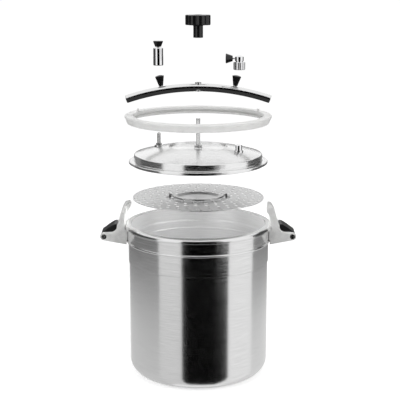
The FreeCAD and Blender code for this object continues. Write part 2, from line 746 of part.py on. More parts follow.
def vent_post():
    """Steam outlet: hexagonal foot on the lid, slim post with a conical seat, shank through the lid."""
    tip_z = PORT_Z + POST_TALL
    post = turned(
        (POST_BORE_R, port_shank_low()),
        (PORT_THREAD_R, port_shank_low()),
        (PORT_THREAD_R, PORT_Z),
        (POST_R, PORT_Z),
        (POST_R, tip_z - POST_TIP),
        (POST_BORE_R + FINE_EDGE, tip_z),
        (POST_BORE_R, tip_z),
    )
    foot = hexagon(POST_BASE_FLATS, PORT_Z, PORT_Z + POST_BASE_TALL)
    foot = foot.cut(rod(POST_BORE_R, PORT_Z, PORT_Z + POST_BASE_TALL))
    return moved(post.fuse(foot).removeSplitter(), -PORT_X, -PORT_Y)


def vent_strainer():
    """Slotted cap on the vent's inner end that keeps food out of the post."""
    top = port_shank_low()
    floor = top - STRAINER_TALL + STRAINER_WALL
    cap = rod(STRAINER_R, top - STRAINER_TALL, top).cut(rod(POST_BORE_R + STRAINER_WALL, floor, top))
    slot = block(0, 2 * STRAINER_R, -STRAINER_SLOT / 2, STRAINER_SLOT / 2, floor, top - STRAINER_WALL)
    for one in ring_of(slot, STRAINER_SLOTS):
        cap = cap.cut(one)
    return moved(cap, -PORT_X, -PORT_Y)


def safety_seat():
    """Chrome stub that the safety valve screws over, its bore ending in a conical seat."""
    top = PORT_Z + SEAT_TALL
    shape = turned(
        (SEAT_BORE_R, port_shank_low()),
        (PORT_THREAD_R, port_shank_low()),
        (PORT_THREAD_R, PORT_Z),
        (SEAT_R, PORT_Z),
        (SEAT_R, top - EDGE),
        (SEAT_R - EDGE, top),
        (SEAT_BORE_R + EDGE, top),
        (SEAT_BORE_R, top - EDGE),
    )
    return moved(shape, PORT_X, PORT_Y)


# ---- gasket -----------------------------------------------------------------
def gasket():
    """C-section ring, open inward, that wraps the lid's flange; two small tabs lift it off."""
    low = POT_HEIGHT + CLEAR
    lip = low + GASKET_LIP
    groove = lip + FLANGE_THICK + CLEAR
    top = GASKET_TOP_Z
    step_z = top - GASKET_TALL / 4
    groove_r = LID_R + CLEAR
    ring = turned(
        (MOUTH_R, low + EDGE),
        (MOUTH_R + EDGE, low),
        (GASKET_FOOT_R, low),
        (GASKET_TOP_R - GASKET_STEP, step_z - GASKET_STEP),
        (GASKET_TOP_R, step_z),
        (GASKET_TOP_R, top - GASKET_STEP),
        (GASKET_TOP_R - GASKET_STEP, top),
        (GASKET_MOUTH_R + EDGE, top),
        (GASKET_MOUTH_R, top - EDGE),
        (GASKET_MOUTH_R, groove + FLANGE_RISE),
        (groove_r, groove),
        (groove_r, lip),
        (MOUTH_R, lip),
    )
    half = TAB_WIDE / 2
    tab = block(GASKET_MOUTH_R, GASKET_MOUTH_R + TAB_THICK, -half, half, top - EDGE, top + TAB_TALL)
    corner = [edge for edge in tab.Edges
              if abs(edge.BoundBox.ZMin - (top + TAB_TALL)) < TINY and edge.BoundBox.XLength > TINY]
    tab = tab.makeFillet(TAB_WIDE / 3, corner)
    for angle in (TAB_ANGLE, 180 - TAB_ANGLE):
        ring = ring.fuse(turned_about(tab, angle))
    return ring.removeSplitter()


# ---- clamp bar ----------------------------------------------------------------
def bow(radius, start_angle, end_angle):
    """Round section swept along the bar's arc, angles measured from its crown."""
    section = Part.Face(Part.Wire(Part.Circle(V(0, 0, BAR_Z), ALONG_X, radius).toShape()))
    centre = V(0, 0, BAR_BEND_Z)
    section.rotate(centre, ALONG_Y, start_angle)
    return section.revolve(centre, ALONG_Y, end_angle - start_angle)


def on_bow(shape, x):
    """Sets a piece drawn over the crown square to the bar at a distance along X."""
    return turned_about(shape, math.degrees(math.asin(x / BAR_BEND_R)), V(0, 0, BAR_BEND_Z), ALONG_Y)


def clamp_bar():
    tube_angle = BAR_END_ANGLE - BAR_CAP_ANGLE
    shape = bow(BAR_R, -tube_angle, tube_angle).cut(bow(BAR_R - BAR_WALL, -tube_angle, tube_angle))
    shape = shape.cut(rod(BUSH_R + RUN, BAR_Z - 2 * BAR_R, BAR_Z + 2 * BAR_R))
    face_r = BUSH_FLANGE_R + EDGE
    shape = shape.cut(rod(face_r, BAR_Z - 2 * BAR_R, BAR_Z - BAR_R + BAR_FLAT))
    for x in (-BAR_KNOB_X, BAR_KNOB_X):
        shape = shape.cut(on_bow(rod(BAR_SCREW_R, BAR_Z, BAR_Z + 2 * BAR_R), x))
    return shape


def bar_caps():
    """Domed plugs closing both ends of the tube."""
    plug_r = BAR_R - BAR_WALL - RUN
    ease = BAR_CAP_TALL / 2
    cap = turned((0, -2 * BAR_CAP_TALL), (plug_r, -2 * BAR_CAP_TALL), (plug_r, 0), (BAR_R, 0), (BAR_R, ease),
                 rounding((BAR_R - ease, ease), ease, (45, 90)), (0, BAR_CAP_TALL))
    cap = moved(turned_about(cap, 90, ORIGIN, ALONG_Y), z=BAR_Z)
    end = turned_about(cap, BAR_END_ANGLE - BAR_CAP_ANGLE, V(0, 0, BAR_BEND_Z), ALONG_Y)
    return group(end, turned_about(end, 180))


def bar_bush():
    """Bearing the bar turns on: a sleeve with a flange below and a neck standing above."""
    low = BAR_Z - BAR_R + BAR_FLAT - RUN
    shape = turned(
        (STUD_R + CLEAR, low - BUSH_FLANGE_TALL),
        (BUSH_FLANGE_R, low - BUSH_FLANGE_TALL),
        (BUSH_FLANGE_R, low),
        (BUSH_R, low),
        (BUSH_R, BUSH_TOP_Z),
        (STUD_R + CLEAR, BUSH_TOP_Z),
    )
    return shape


def bar_knobs():
    """Fluted cones, wide end up, by which the bar is turned."""
    low = BAR_Z + BAR_R + BAR_KNOB_NECK
    top = low + BAR_KNOB_TALL
    cone = turned(
        (0, low),
        (BAR_KNOB_FOOT_R, low),
        (BAR_KNOB_TOP_R, top - BAR_KNOB_DOME - EDGE),
        (BAR_KNOB_TOP_R, top - BAR_KNOB_DOME),
        crown(BAR_KNOB_TOP_R, top, BAR_KNOB_DOME),
    )
    lean = math.degrees(math.atan2(BAR_KNOB_TOP_R - BAR_KNOB_FOOT_R, BAR_KNOB_TALL - BAR_KNOB_DOME))
    flute_at = BAR_KNOB_FOOT_R + FINE_EDGE
    flute = rod(BAR_KNOB_FLUTE_R, low - EDGE, low + 2 * BAR_KNOB_TALL, flute_at)
    flute = turned_about(flute, lean, V(flute_at, 0, low), ALONG_Y)
    cone = cone.cut(group(*ring_of(flute, BAR_KNOB_FLUTES)))
    cone = cone.cut(rod(BAR_SCREW_R, low, low + BAR_KNOB_TALL / 2))
    return group(*[on_bow(cone, x) for x in (-BAR_KNOB_X, BAR_KNOB_X)])


def bar_screws():
    """Collared studs holding the two cones on the bar."""
    low = BAR_Z + BAR_R
    stud = rod(BAR_SCREW_R, low - BAR_WALL, low + BAR_KNOB_NECK + BAR_KNOB_TALL / 2)
    collar = rod(BAR_COLLAR_R, low - BAR_COLLAR_SINK, low + BAR_KNOB_NECK)
    crown_of_bar = bow(BAR_R, -LOCK_ANGLE, LOCK_ANGLE).cut(rod(BAR_SCREW_R, low - BAR_WALL, low))
    piece = stud.fuse(collar).cut(crown_of_bar)
    return group(*[on_bow(piece, x) for x in (-BAR_KNOB_X, BAR_KNOB_X)])


# ---- star knob ----------------------------------------------------------------
def star_knob():
    """Lobed head on a stem; the stem's foot is counterbored over the thrust ring."""
    head_z = STEM_Z + STEM_TALL
    top = head_z + KNOB_TALL
    lobe_at = KNOB_R - KNOB_LOBE_R
    lobe = turned(
        (0, head_z), (KNOB_LOBE_R - KNOB_EDGE, head_z),
        rounding((KNOB_LOBE_R - KNOB_EDGE, head_z + KNOB_EDGE), KNOB_EDGE, (-45, 0)),
        (KNOB_LOBE_R, top - KNOB_EDGE),
        rounding((KNOB_LOBE_R - KNOB_EDGE, top - KNOB_EDGE), KNOB_EDGE, (45, 90)),
        (0, top))
    core_r = lobe_at + EDGE
    core = turned((0, head_z), (core_r - EDGE, head_z), (core_r, head_z + EDGE), (core_r, top - KNOB_EDGE),
                  (core_r - KNOB_EDGE, top), (0, top))
    head = core
    for one in ring_of(moved(lobe, lobe_at), KNOB_LOBES, KNOB_REST_ANGLE - 90):
        head = head.fuse(one)
    stem = turned((0, STEM_Z), (STEM_R - FINE_EDGE, STEM_Z), (STEM_R, STEM_Z + FINE_EDGE),
                  (STEM_R, head_z - STEM_FLARE), (STEM_R + STEM_FLARE, head_z), (0, head_z))
    shape = head.fuse(stem).removeSplitter()
    shape = shape.cut(rod(RING_R + CLEAR, STEM_Z, STEM_Z + RING_POCKET))
    shape = shape.cut(rod(INSERT_R + RUN, STEM_Z + RING_POCKET, INSERT_TOP_Z + CLEAR))
    return shape.cut(rod(KNOB_DIMPLE_R, top - KNOB_DIMPLE, top))


def knob_insert():
    """Brass screw insert that runs on the centre stud."""
    bore = rod(STUD_R + RUN, INSERT_Z, INSERT_TOP_Z - INSERT_ROOF)
    return rod(INSERT_R, INSERT_Z, INSERT_TOP_Z).cut(bore)


def thrust_ring():
    return tube(RING_R, RING_IN_R, RING_Z, RING_Z + RING_TALL)


# ---- operating valve ------------------------------------------------------------
def at_vent(shape):
    return moved(shape, -PORT_X, -PORT_Y, VALVE_Z)


def valve_weight():
    """Chromed weight: a hollow cylinder with a chamfered shoulder."""
    roof = VALVE_TALL - VALVE_ROOF
    shape = turned(
        (VALVE_CHAMBER_R, 0),
        (VALVE_R - EDGE, 0),
        (VALVE_R, EDGE),
        (VALVE_R, VALVE_TALL - VALVE_SHOULDER),
        (VALVE_R - VALVE_SHOULDER, VALVE_TALL),
        (SPINDLE_R + RUN, VALVE_TALL),
        (SPINDLE_R + RUN, roof),
        (VALVE_CHAMBER_R, roof),
    )
    return at_vent(shape)


def valve_sleeve():
    """Brass guide pressed into the weight, sliding over the vent post."""
    return at_vent(tube(VALVE_CHAMBER_R - RUN / 2, POST_R + CLEAR, EDGE, SLEEVE_TALL))


def valve_needle():
    """Needle whose cone closes the vent."""
    flange_z = SLEEVE_TALL + CLEAR
    low = VALVE_SINK + CLEAR
    shape = turned(
        (0, low),
        (POST_BORE_R, low + NEEDLE_TIP),
        (NEEDLE_R, flange_z),
        (NEEDLE_FLANGE_R, flange_z),
        (NEEDLE_FLANGE_R, flange_z + NEEDLE_FLANGE_TALL),
        (NEEDLE_STEM_R, flange_z + NEEDLE_FLANGE_TALL),
        (NEEDLE_STEM_R, flange_z + NEEDLE_TALL),
        (0, flange_z + NEEDLE_TALL),
    )
    return at_vent(shape)


def valve_spring():
    low = SLEEVE_TALL + CLEAR + NEEDLE_FLANGE_TALL + CLEAR
    high = VALVE_TALL - VALVE_ROOF - CLEAR
    return at_vent(spring(SPRING_R, SPRING_WIRE_R, low, high, SPRING_TURNS))


def valve_knob():
    """Black cone, wide end up, notched round its top edge."""
    low = VALVE_TALL + CLEAR
    top = low + VALVE_KNOB_TALL
    cone = turned(
        (0, low),
        (VALVE_KNOB_FOOT_R, low),
        (VALVE_KNOB_TOP_R, top - FINE_EDGE - EDGE),
        (VALVE_KNOB_TOP_R, top - FINE_EDGE),
        (VALVE_KNOB_TOP_R - FINE_EDGE, top),
        (0, top),
    )
    notch = rod(VALVE_NOTCH_R, top - VALVE_KNOB_TALL / 3, top + EDGE, VALVE_KNOB_TOP_R + VALVE_NOTCH_R / 2)
    cone = cone.cut(group(*ring_of(notch, VALVE_KNOB_NOTCHES)))
    return at_vent(cone.cut(rod(SPINDLE_R, low, low + SPINDLE_LONG / 2)))


def valve_spindle():
    """Steel pin that joins the cone to the weight's roof."""
    mid = VALVE_TALL + CLEAR
    return at_vent(rod(SPINDLE_R, mid - SPINDLE_LONG / 2, mid + SPINDLE_LONG / 2))


# ---- safety valve ---------------------------------------------------------------
def at_safety(shape):
    return moved(shape, PORT_X, PORT_Y, SAFETY_Z)


def safety_nut():
    """Fluted ring nut that screws over the stub."""
    top = SAFETY_NUT_TALL
    ring = turned(
        (SEAT_R + CLEAR, 0),
        (SAFETY_NUT_R - EDGE, 0),
        (SAFETY_NUT_R, EDGE),
        (SAFETY_NUT_R, top - EDGE),
        (SAFETY_NUT_R - EDGE, top),
        (SAFETY_BODY_R + RUN / 2, top),
        (SAFETY_BODY_R + RUN / 2, SAFETY_SINK),
        (SEAT_R + CLEAR, SAFETY_SINK),
    )
    flute = rod(SAFETY_FLUTE_R, 0, top, SAFETY_NUT_R + SAFETY_FLUTE_R / 2)
    return at_safety(ring.cut(group(*ring_of(flute, SAFETY_NUT_FLUTES))))


def safety_body():
    """Domed barrel seated in the nut, cross-drilled for the pull pin."""
    low = SAFETY_SINK
    neck = SAFETY_NUT_TALL + CLEAR
    top = SAFETY_SINK + SAFETY_BODY_TALL + SAFETY_DOME
    roof = top - SAFETY_DOME - EDGE
    shape = turned(
        (SAFETY_BORE_R, low),
        (SAFETY_BODY_R, low),
        (SAFETY_BODY_R, neck),
        (SAFETY_NECK_R, neck),
        (SAFETY_NECK_R, neck + SAFETY_NECK_TALL),
        (SAFETY_BODY_R, neck + SAFETY_NECK_TALL),
        (SAFETY_BODY_R, top - SAFETY_DOME),
        crown(SAFETY_BODY_R, top, SAFETY_DOME),
        (0, roof),
        (SAFETY_BORE_R, roof),
    )
    return at_safety(shape.cut(lying(PULL_PIN_R + RUN, -2 * SAFETY_BODY_R, 0, 0, PULL_PIN_RISE)))


def safety_poppet():
    """Disc closing the seat, on a stem the pull pin raises."""
    low = SAFETY_SINK + CLEAR
    top = PULL_PIN_RISE - PULL_PIN_R - CLEAR - POPPET_LIFT
    shape = turned(
        (0, low - EDGE),
        (SEAT_BORE_R - FINE_EDGE, low - EDGE),
        (SEAT_BORE_R + CLEAR, low),
        (POPPET_R, low),
        (POPPET_R, low + POPPET_TALL),
        (POPPET_STEM_R, low + POPPET_TALL),
        (POPPET_STEM_R, top),
        (0, top),
    )
    return at_safety(shape)


def safety_spring():
    low = SAFETY_SINK + POPPET_TALL + 2 * CLEAR
    high = PULL_PIN_RISE - PULL_PIN_R - CLEAR
    return at_safety(spring(SAFETY_SPRING_R, SPRING_WIRE_R, low, high, SAFETY_SPRING_TURNS))


def pull_pin():
    outer = -SAFETY_BODY_R - PULL_NECK - PULL_KNOB_LONG / 2
    return at_safety(lying(PULL_PIN_R, outer, -CLEAR, 0, PULL_PIN_RISE))


def pull_knob():
    """Black cone on the pull pin, wide end out."""
    near = -SAFETY_BODY_R - PULL_NECK
    cone = turned(
        (0, 0),
        (PULL_KNOB_SMALL_R - FINE_EDGE, 0),
        (PULL_KNOB_SMALL_R, FINE_EDGE),
        (PULL_KNOB_BIG_R, PULL_KNOB_LONG - EDGE),
        (PULL_KNOB_BIG_R - EDGE, PULL_KNOB_LONG),
        (0, PULL_KNOB_LONG),
    )
    cone = cone.cut(rod(PULL_PIN_R, 0, PULL_KNOB_LONG / 2))
    cone = turned_about(cone, -90, ORIGIN, ALONG_Y)
    return at_safety(moved(cone, near, 0, PULL_PIN_RISE))


# ---- rack -----------------------------------------------------------------------
def rack_plate():
    """Thin disc pierced in rings, with a shallow dish in its middle."""
    flat_r = DISH_R + DISH_SLOPE
    outline = Part.Wire(Part.Circle(V(0, 0, RACK_Z), UP, RACK_R).toShape())
    wires = [outline, Part.Wire(Part.Circle(V(0, 0, RACK_Z), UP, flat_r).toShape())]
    first_r = flat_r + RACK_MARGIN
    spread = (RACK_R - RACK_MARGIN - first_r) / (RACK_RINGS - 1)
    for ring in range(RACK_RINGS):
        pitch_r = first_r + ring * spread
        count = round(2 * math.pi * pitch_r / RACK_HOLE_PITCH)
        for i in range(count):
            angle = 2 * math.pi * (i + 0.5) / count
            centre = V(pitch_r * math.cos(angle), pitch_r * math.sin(angle), RACK_Z)
            wires.append(Part.Wire(Part.Circle(centre, UP, RACK_HOLE_R).toShape()))
    plate = Part.Face(wires, 'Part::FaceMakerBullseye').extrude(V(0, 0, RACK_THICK))
    low = RACK_Z - DISH_DEPTH
    dish = turned((0, low), (DISH_R, low), (flat_r, RACK_Z), (flat_r, RACK_Z + RACK_THICK),
                  (DISH_R, low + RACK_THICK), (0, low + RACK_THICK))
    return plate.fuse(dish).removeSplitter()


def bail_axis_z():
    return RACK_Z + RACK_THICK + BAIL_RISE


def rack_eyelets():
    """Two small saddles that carry the bail's ends."""
    z = bail_axis_z()
    low = RACK_Z + RACK_THICK
    near = BAIL_R + 2 * BAIL_WIRE_R
    half = EYELET_FOOT / 2
    foot = block(near - EDGE, near + EYELET_FOOT - EDGE, -half, half, low, low + EYELET_FOOT_TALL)
    body = lying(EYELET_R, near, near + EYELET_LONG, 0, z)
    web = block(near, near + EYELET_LONG, -EYELET_R, EYELET_R, low, z)
    eyelet = body.fuse(web).fuse(foot).removeSplitter()
    eyelet = eyelet.cut(lying(BAIL_WIRE_R + RUN, near - EDGE, near + EYELET_FOOT, 0, z))
    return group(eyelet, turned_about(eyelet, 180))


def rack_bail():
    """Half-ring of wire lying over the rack, its ends turned out into the eyelets."""
    z = bail_axis_z()
    section = Part.Face(Part.Wire(Part.Circle(V(BAIL_R, 0, z), ALONG_Y, BAIL_WIRE_R).toShape()))
    loop = section.revolve(V(0, 0, z), UP, -180)
    pin = lying(BAIL_WIRE_R, BAIL_R, BAIL_R + BAIL_PIN_LONG, 0, z)
    bend = Part.makeSphere(BAIL_WIRE_R, V(BAIL_R, 0, z))
    end = pin.fuse(bend)
    return loop.fuse(end).fuse(turned_about(end, 180)).removeSplitter()


# ---- bench layout and export ------------------------------------------------------
def lifted(shape, *lifts):
    return moved(shape, z=sum(lifts))


right_bracket = bracket()
right_grip = grip()

nodes = {
    "pot_body": pot_body(),
    "right_bracket": right_bracket,
    "left_bracket": turned_about(right_bracket, 180),
    "right_grip": right_grip,
    "left_grip": turned_about(right_grip, 180),
    "grip_bolts": grip_bolts(),
    "grip_nuts": grip_nuts(),
    "bracket_rivets": bracket_rivets(),
    "lid_shell": lifted(lid_shell(), LID_LIFT),
    "center_stud": lifted(center_stud(), LID_LIFT),
    "stud_nut": lifted(stud_nut(), LID_LIFT),
    "lid_seals": lifted(lid_seals(), LID_LIFT),
    "port_nuts": lifted(port_nuts(), LID_LIFT),
    "vent_post": lifted(vent_post(), LID_LIFT),
    "vent_strainer": lifted(vent_strainer(), LID_LIFT),
    "safety_seat": lifted(safety_seat(), LID_LIFT),
    "gasket": lifted(gasket(), LID_LIFT, GASKET_LIFT),
    "rack_plate": lifted(rack_plate(), LID_LIFT, RACK_DROP),
    "rack_eyelets": lifted(rack_eyelets(), LID_LIFT, RACK_DROP),
    "rack_bail": lifted(rack_bail(), LID_LIFT, RACK_DROP),
    "bar_bush": lifted(bar_bush(), LID_LIFT, BAR_LIFT),
    "clamp_bar": lifted(clamp_bar(), LID_LIFT, BAR_LIFT),
    "bar_caps": lifted(bar_caps(), LID_LIFT, BAR_LIFT),
    "bar_knobs": lifted(bar_knobs(), LID_LIFT, BAR_LIFT),
    "bar_screws": lifted(bar_screws(), LID_LIFT, BAR_LIFT),
    "thrust_ring": lifted(thrust_ring(), LID_LIFT, BAR_LIFT, KNOB_LIFT),
    "knob_insert": lifted(knob_insert(), LID_LIFT, BAR_LIFT, KNOB_LIFT, KNOB_FEED),
    "star_knob": lifted(star_knob(), LID_LIFT, BAR_LIFT, KNOB_LIFT, KNOB_FEED),
    "valve_weight": lifted(valve_weight(), LID_LIFT, VALVE_LIFT),
    "valve_sleeve": lifted(valve_sleeve(), LID_LIFT, VALVE_LIFT),
    "valve_needle": lifted(valve_needle(), LID_LIFT, VALVE_LIFT),
    "valve_spring": lifted(valve_spring(), LID_LIFT, VALVE_LIFT),
    "valve_spindle": lifted(valve_spindle(), LID_LIFT, VALVE_LIFT),
    "valve_knob": lifted(valve_knob(), LID_LIFT, VALVE_LIFT),
    "safety_nut": lifted(safety_nut(), LID_LIFT, SAFETY_LIFT),
    "safety_body": lifted(safety_body(), LID_LIFT, SAFETY_LIFT),
    "safety_poppet": lifted(safety_poppet(), LID_LIFT, SAFETY_LIFT),
    "safety_spring": lifted(safety_spring(), LID_LIFT, SAFETY_LIFT),
    "pull_pin": lifted(pull_pin(), LID_LIFT, SAFETY_LIFT),
    "pull_knob": lifted(pull_knob(), LID_LIFT, SAFETY_LIFT),
}

os.makedirs("parts", exist_ok=True)
for name, shape in nodes.items():
    shape.exportStep("parts/" + name + ".step")
    box = shape.BoundBox
    print(name, shape.isValid(), len(shape.Solids), round(shape.Volume),
          [round(v, 1) for v in (box.XMin, box.XMax, box.YMin, box.YMax, box.ZMin, box.ZMax)])
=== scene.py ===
"""Looks of the pressure canner: spun aluminium pot and lid, cast brackets, chrome valves,
polished clamp bar, silicone ring and black moulded knobs, on a white studio ground."""

import json
import math

import bpy
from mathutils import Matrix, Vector


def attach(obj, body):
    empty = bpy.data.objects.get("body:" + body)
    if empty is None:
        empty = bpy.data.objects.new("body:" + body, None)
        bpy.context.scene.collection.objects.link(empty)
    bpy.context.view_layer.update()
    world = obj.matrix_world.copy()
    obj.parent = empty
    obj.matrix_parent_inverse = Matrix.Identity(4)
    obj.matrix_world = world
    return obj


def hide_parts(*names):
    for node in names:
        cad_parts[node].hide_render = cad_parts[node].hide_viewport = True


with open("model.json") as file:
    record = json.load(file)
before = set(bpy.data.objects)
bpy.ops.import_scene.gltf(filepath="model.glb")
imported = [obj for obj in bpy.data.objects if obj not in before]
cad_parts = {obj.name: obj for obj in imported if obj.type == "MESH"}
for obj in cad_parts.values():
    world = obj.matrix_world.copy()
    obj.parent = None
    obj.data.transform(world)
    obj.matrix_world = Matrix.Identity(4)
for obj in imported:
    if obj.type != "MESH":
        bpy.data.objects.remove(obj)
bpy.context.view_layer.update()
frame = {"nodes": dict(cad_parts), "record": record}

BODY_OF = {node: body for body, nodes in frame["record"]["behaviour"]["bodies"].items() for node in nodes}
SLOT_OF = {part["node"]: part["material_slot"] for part in frame["record"]["subparts"]}

WHITE = (1.0, 1.0, 1.0, 1.0)

# Noise mostly keeps between these ends, so they are drawn out to the full range.
NOISE_LOW = 0.3
NOISE_HIGH = 0.7

# Marks of the lathe: lines to the metre, streaks to the radian, and how deep they show.
LATHE_LINES = 420.0
LATHE_STREAKS = 3.0
LATHE_RELIEF = 0.1
LATHE_DEPTH = 0.00004
QUARTER_TURN = 0.25

# The pot's satin hollow: what lies inside this radius and above this height, in metres.
POT_INSIDE_R = 0.1436
POT_INSIDE_FLOOR = 0.004
POT_INSIDE_METALLIC = 0.88
POT_INSIDE_ROUGHNESS = 0.36

# Rounding of moulded and cast corners.
WELD_DISTANCE = 1e-6
EASE_FACTOR = 0.5

# Shares of fine grain and of soft mottling in the cast metal's shade.
CAST_GRAIN = 0.55
CAST_MOTTLE = 0.45

# Studio values, in metres and degrees. Azimuth 0 is the camera's side, positive to its right.
AIM = Vector((0.0039, 0.0, 0.3782))
POT_FLOOR = Vector((0.0, 0.0, 0.0))
CAMERA_DISTANCE = 2.2
CAMERA_ELEVATION = 12.5
CAMERA_LENS = 92.25
SENSOR = 36.0
FLOOR_HALF = 60.0
FLOOR_GREY = (0.9, 0.9, 0.9, 1.0)
FLOOR_ROUGHNESS = 0.9
FLOOR_GLOW = 0.52
WORLD_LEVEL = 0.55

# Heights of the cards. The pot's wall mirrors the low ones, and the pieces over it the high ones:
# the dark cards in front part at POT_VIEW_TOP, the cards at the sides at SIDE_SPLIT.
CARD_RADIUS = 1.2
CARD_STEPS = 24
CARD_BELOW = -3.0
CARD_HIGH = 1.15
DARK_HIGH = 1.5
POT_VIEW_TOP = 0.19
SIDE_SPLIT = 0.08
BACK_BAND = (0.1, 0.59)
FRONT_FADE = (0.1, 0.2)
SIDE_FADE = (-0.26, 0.02)
HIGH_FADE = (0.08, 0.3)

# Azimuths where one card ends and the next begins.
FULL_CIRCLE = 360
BACK_LEFT = -150
SIDE_LEFT = -118
FRONT_LEFT = -62
DARK_LEFT = -25
DARK_RIGHT = 47
FRONT_RIGHT = 93
SIDE_RIGHT = 140
BACK_RIGHT = 158
UPPER_DARK_LEFT = -24
UPPER_DARK_RIGHT = 27
UPPER_SOFT_RIGHT = 36

BAR_CARD_PLACE = (0.0, 0.05, 0.582)
BAR_CARD_SIZE = (0.42, 0.40)
BAR_CARD_LEVEL = 0.04


# ---- shader building ---------------------------------------------------------
def set_inputs(node, values):
    for socket, value in values.items():
        node.inputs[socket].default_value = value


def map_range(tree, value, low, high, from_low=0.0, from_high=1.0):
    """Stretches a value between from_low and from_high to lie between low and high."""
    made = tree.nodes.new("ShaderNodeMapRange")
    set_inputs(made, {"From Min": from_low, "From Max": from_high, "To Min": low, "To Max": high})
    tree.links.new(value, made.inputs["Value"])
    return made.outputs["Result"]


class Finish:
    """One material, with its Principled shader and small helpers for its nodes."""

    def __init__(self, name, color, roughness, metallic=0.0):
        self.material = bpy.data.materials.new(name)
        self.material.use_nodes = True
        self.tree = self.material.node_tree
        self.shader = self.tree.nodes["Principled BSDF"]
        set_inputs(self.shader, {"Base Color": (*color, 1.0), "Roughness": roughness, "Metallic": metallic})
        self.place = self.node("ShaderNodeTexCoord").outputs["Object"]
        self.color = color

    def node(self, kind, **settings):
        made = self.tree.nodes.new(kind)
        for key, value in settings.items():
            setattr(made, key, value)
        return made

    def link(self, source, target):
        self.tree.links.new(source, target)

    def feed(self, source, socket):
        """Drive one of the shader's inputs."""
        self.link(source, self.shader.inputs[socket])

    def fill(self, sockets, values):
        """Give each socket its number, or link what drives it."""
        for socket, value in zip(sockets, values):
            if isinstance(value, (int, float)):
                socket.default_value = value
            else:
                self.link(value, socket)

    def math(self, operation, *values):
        made = self.node("ShaderNodeMath", operation=operation)
        self.fill(made.inputs, values)
        return made.outputs[0]

    def combine(self, *values):
        made = self.node("ShaderNodeCombineXYZ")
        self.fill(made.inputs, values)
        return made.outputs[0]

    def scaled(self, x, y, z):
        made = self.node("ShaderNodeMapping")
        set_inputs(made, {"Scale": (x, y, z)})
        self.link(self.place, made.inputs["Vector"])
        return made.outputs[0]

    def noise(self, vector, scale=1.0, detail=4.0, rough=0.6):
        made = self.node("ShaderNodeTexNoise")
        set_inputs(made, {"Scale": scale, "Detail": detail, "Roughness": rough})
        self.link(vector, made.inputs["Vector"])
        return made.outputs["Fac"]

    def ranged(self, value, low, high, from_low=NOISE_LOW, from_high=NOISE_HIGH):
        """As map_range, for noise."""
        return map_range(self.tree, value, low, high, from_low, from_high)

    def tint(self, value, dark, light, from_low=NOISE_LOW, from_high=NOISE_HIGH):
        """Base colour from dark to light times the finish's own colour, by a noise value."""
        made = self.node("ShaderNodeMix", data_type="RGBA")
        for socket, share in (("A", dark), ("B", light)):
            made.inputs[socket].default_value = (*[min(c * share, 1.0) for c in self.color], 1.0)
        self.link(self.ranged(value, 0.0, 1.0, from_low, from_high), made.inputs["Factor"])
        self.feed(made.outputs["Result"], "Base Color")

    def rough_from(self, value, low, high):
        self.feed(self.ranged(value, low, high), "Roughness")

    def bump(self, height, strength, depth):
        made = self.node("ShaderNodeBump")
        set_inputs(made, {"Strength": strength, "Distance": depth})
        self.link(height, made.inputs["Height"])
        self.feed(made.outputs["Normal"], "Normal")


def round_axis(finish):
    """Radius, angle and height about the Z axis."""
    split = finish.node("ShaderNodeSeparateXYZ")
    finish.link(finish.place, split.inputs[0])
    x, y, height = split.outputs
    squares = finish.math("ADD", finish.math("MULTIPLY", x, x), finish.math("MULTIPLY", y, y))
    return finish.math("SQRT", squares), finish.math("ARCTAN2", x, y), height


def lathe_noise(finish, radius, angle, height):
    """Noise drawn out round the Z axis: the marks of a lathe tool or a polishing pad."""
    vector = finish.combine(finish.math("MULTIPLY", radius, LATHE_LINES),
                            finish.math("MULTIPLY", height, LATHE_LINES),
                            finish.math("MULTIPLY", angle, LATHE_STREAKS))
    return finish.noise(vector, detail=5.0, rough=0.65)


def spun_metal(name, color, roughness, anisotropy, contrast, has_hollow=False):
    """Spun sheet, its shine drawn out round the Z axis; has_hollow adds the pot's satin inside."""
    finish = Finish(name, color, roughness, metallic=1.0)
    radius, angle, height = round_axis(finish)
    lines = lathe_noise(finish, radius, angle, height)
    finish.tint(lines, dark=1.0 - contrast, light=1.0 + contrast)
    rough = finish.ranged(lines, low=roughness * 0.85, high=roughness * 1.2)
    if has_hollow:
        within = finish.math("MULTIPLY", finish.math("LESS_THAN", radius, POT_INSIDE_R),
                             finish.math("GREATER_THAN", height, POT_INSIDE_FLOOR))
        more = finish.math("MULTIPLY", within, POT_INSIDE_ROUGHNESS - roughness)
        rough = finish.math("ADD", rough, more)
        finish.feed(map_range(finish.tree, within, 1.0, POT_INSIDE_METALLIC), "Metallic")
    finish.feed(rough, "Roughness")
    finish.bump(lines, LATHE_RELIEF, LATHE_DEPTH)
    set_inputs(finish.shader, {"Anisotropic": anisotropy, "Anisotropic Rotation": QUARTER_TURN})
    tangent = finish.node("ShaderNodeTangent", direction_type="RADIAL", axis="Z")
    finish.feed(tangent.outputs[0], "Tangent")
    return finish.material


def cast_metal(name, color, roughness, metallic):
    """Sand-cast and tumbled: fine grain, soft mottling and small pits."""
    finish = Finish(name, color, roughness, metallic)
    grain = finish.noise(finish.place, scale=950.0, detail=6.0, rough=0.7)
    mottle = finish.noise(finish.place, scale=70.0, detail=3.0)
    blend = finish.math("ADD", finish.math("MULTIPLY", grain, CAST_GRAIN),
                        finish.math("MULTIPLY", mottle, CAST_MOTTLE))
    finish.tint(blend, dark=0.84, light=1.12, from_low=0.35, from_high=0.65)
    finish.rough_from(mottle, low=roughness * 0.85, high=roughness * 1.15)
    finish.bump(grain, strength=0.5, depth=0.00025)
    return finish.material


